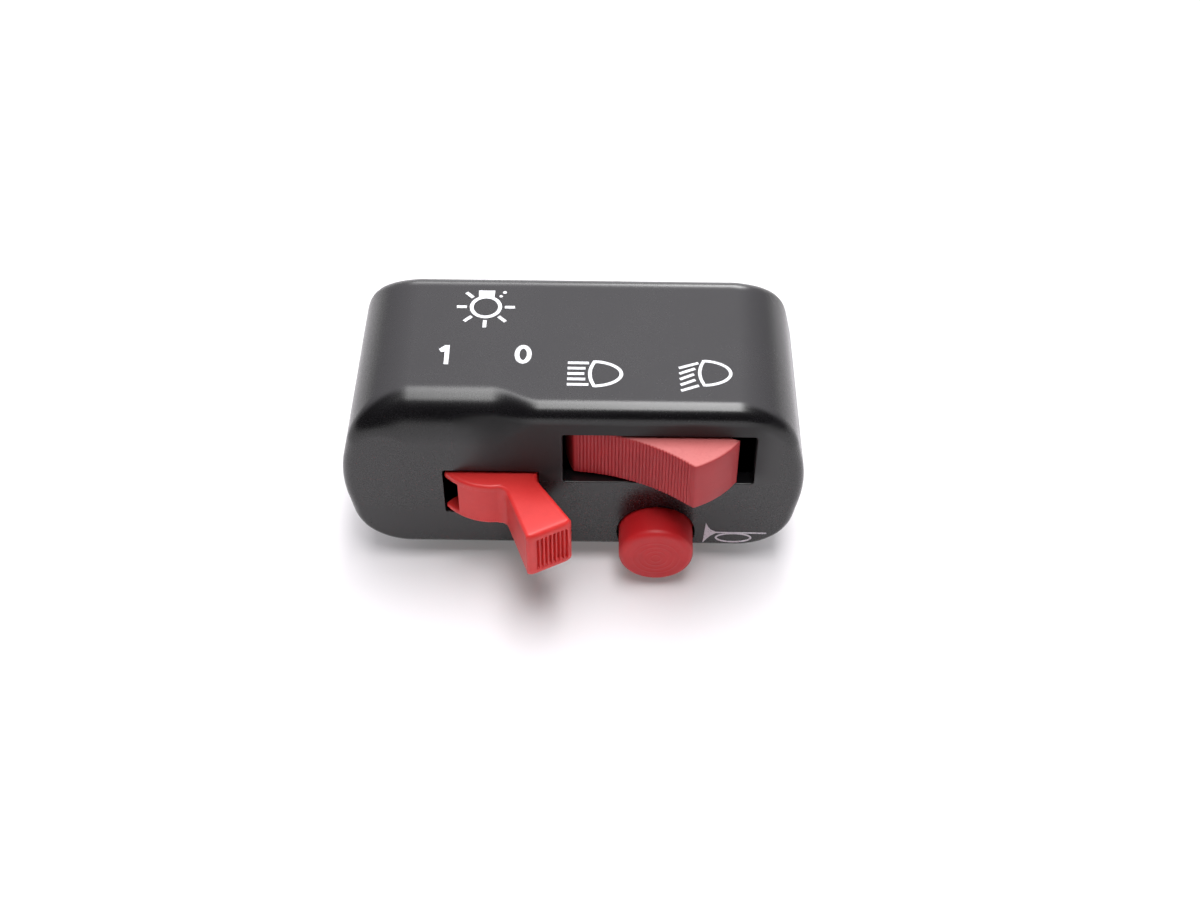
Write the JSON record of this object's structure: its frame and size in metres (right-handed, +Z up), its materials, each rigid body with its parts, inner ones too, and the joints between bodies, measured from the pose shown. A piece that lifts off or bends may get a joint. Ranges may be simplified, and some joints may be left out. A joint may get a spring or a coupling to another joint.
{
  "type": "handlebar switch cluster",
  "caption": "Black moulded handlebar switch block with a red turning light lever, a ribbed red dip rocker and a sprung red horn button, screwed on from below",
  "frame": {"origin": "midway between the two fixing screws on the plane of the housing's lower rim", "axes": "+X to the right along the row of screws, +Y from the front face to the rear, +Z up; the screws leave along -Z"},
  "size_m": [0.0646, 0.0391, 0.0319],
  "materials": {
    "black_plastic": "fine satin moulding",
    "base_plastic": "matt moulding",
    "red_plastic": "satin moulding",
    "brass": "plain",
    "steel": "plain"
  },
  "bodies": {
    "block": {"housing": "black_plastic", "mounting_inserts": "brass", "contact_base": "base_plastic", "base_screws": "steel", "lever_pivot_pin": "steel", "rocker_pivot_pin": "steel", "light_feed_strip": "brass", "light_on_contact": "brass", "light_rest_contact": "brass", "dip_feed_strip": "brass", "high_beam_contact": "brass", "low_beam_contact": "brass", "horn_feed_blade": "brass", "horn_out_blade": "brass"},
    "lever": {"light_lever": "red_plastic", "lever_wiper": "brass", "lever_wiper_spring": "steel", "lever_detent_ball": "steel", "lever_detent_spring": "steel"},
    "rocker": {"dip_rocker": "red_plastic", "rocker_wiper": "brass", "rocker_wiper_spring": "steel", "rocker_detent_ball": "steel", "rocker_detent_spring": "steel"},
    "button": {"horn_button": "red_plastic", "horn_bridge": "brass", "horn_return_spring": "steel"}
  },
  "joints": [
    {"name": "lever_turn", "type": "hinge", "parent": "block", "child": "lever", "pos_m": [-0.01145, -0.0137, 0.0114], "axis": [0, 0, -1], "range_deg": [0, 56]},
    {"name": "rocker_tip", "type": "hinge", "parent": "block", "child": "rocker", "pos_m": [0.01185, -0.0127, 0.0186], "axis": [0, 0, 1], "range_deg": [0, 42.4]},
    {"name": "button_push", "type": "slide", "parent": "block", "child": "button", "axis": [0, 1, 0], "range_m": [0, 0.0025], "stiffness_N_per_m": 400, "springref_m": -0.0015, "deforming": ["horn_return_spring"]}
  ]
}
